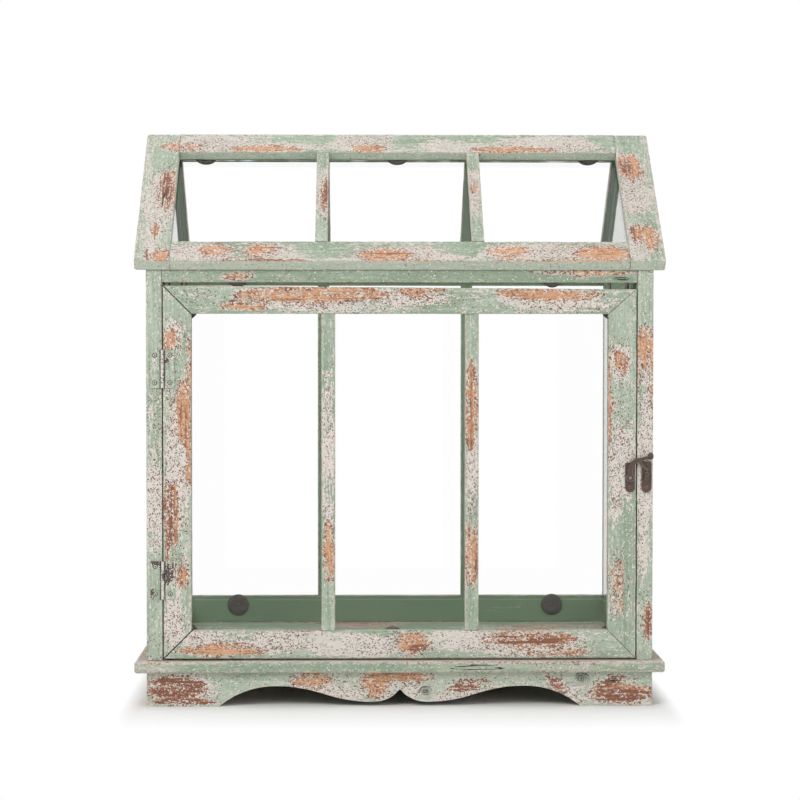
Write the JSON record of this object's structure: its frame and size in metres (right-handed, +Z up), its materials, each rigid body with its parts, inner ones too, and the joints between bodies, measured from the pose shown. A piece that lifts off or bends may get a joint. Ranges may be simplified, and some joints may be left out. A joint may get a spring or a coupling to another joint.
{
  "type": "wooden mini greenhouse",
  "caption": "Table-top greenhouse: glazed wooden case on a scalloped plinth, pitched glazed roof, side-hinged glazed door with a swing latch.",
  "frame": {"origin": "on the ground, at the middle of the footprint", "axes": "+X to the right seen from the door, +Y from the door to the rear wall, +Z up"},
  "size_m": [0.534, 0.346, 0.5876],
  "materials": {
    "painted_wood": "chipped pale green and off-white paint over bare orange-brown wood",
    "clear_glass": "clear float glass",
    "dark_steel": "dark, lightly worn",
    "painted_hinge": "painted over with the wood, chipped",
    "aged_bronze": "dark antique bronze, coppery edges"
  },
  "bodies": {
    "case": {"base_board": "painted_wood", "front_apron": "painted_wood", "rear_apron": "painted_wood", "right_apron": "painted_wood", "left_apron": "painted_wood", "front_right_post": "painted_wood", "front_left_post": "painted_wood", "rear_right_post": "painted_wood", "rear_left_post": "painted_wood", "front_top_rail": "painted_wood", "rear_top_rail": "painted_wood", "rear_bottom_rail": "painted_wood", "rear_muntins": "painted_wood", "right_bottom_rail": "painted_wood", "left_bottom_rail": "painted_wood", "right_top_rail": "painted_wood", "left_top_rail": "painted_wood", "right_muntin": "painted_wood", "left_muntin": "painted_wood", "right_front_rafter": "painted_wood", "right_rear_rafter": "painted_wood", "left_front_rafter": "painted_wood", "left_rear_rafter": "painted_wood", "front_roof_right_stile": "painted_wood", "front_roof_left_stile": "painted_wood", "front_roof_bottom_rail": "painted_wood", "front_roof_top_rail": "painted_wood", "front_roof_muntins": "painted_wood", "rear_roof_right_stile": "painted_wood", "rear_roof_left_stile": "painted_wood", "rear_roof_bottom_rail": "painted_wood", "rear_roof_top_rail": "painted_wood", "rear_roof_muntins": "painted_wood", "rear_glass": "clear_glass", "right_glass": "clear_glass", "left_glass": "clear_glass", "gable_glass": "clear_glass", "front_roof_glass": "clear_glass", "rear_roof_glass": "clear_glass", "case_glass_clips": "dark_steel", "case_clip_screws": "dark_steel", "upper_hinge_post_leaf": "painted_hinge", "lower_hinge_post_leaf": "painted_hinge", "hinge_pins": "painted_hinge", "catch_plate": "aged_bronze", "case_fitting_screws": "aged_bronze"},
    "door": {"door_bottom_rail": "painted_wood", "door_right_stile": "painted_wood", "door_top_rail": "painted_wood", "door_left_stile": "painted_wood", "door_muntins": "painted_wood", "door_glass": "clear_glass", "door_glass_clips": "dark_steel", "door_clip_screws": "dark_steel", "upper_hinge_door_leaf": "painted_hinge", "lower_hinge_door_leaf": "painted_hinge", "door_fitting_screws": "aged_bronze", "latch_plate": "aged_bronze", "latch_rivet": "aged_bronze"},
    "latch_arm": {"latch_arm": "aged_bronze"}
  },
  "joints": [
    {"name": "door_swing", "type": "hinge", "parent": "case", "child": "door", "pos_m": [-0.2385, -0.1661, 0.23615], "axis": [0, 0, -1], "range_deg": [0, 170]},
    {"name": "latch_swing", "type": "hinge", "parent": "door", "child": "latch_arm", "pos_m": [0.2317, -0.167, 0.23075], "axis": [0, -1, 0], "range_deg": [0, 95]}
  ]
}
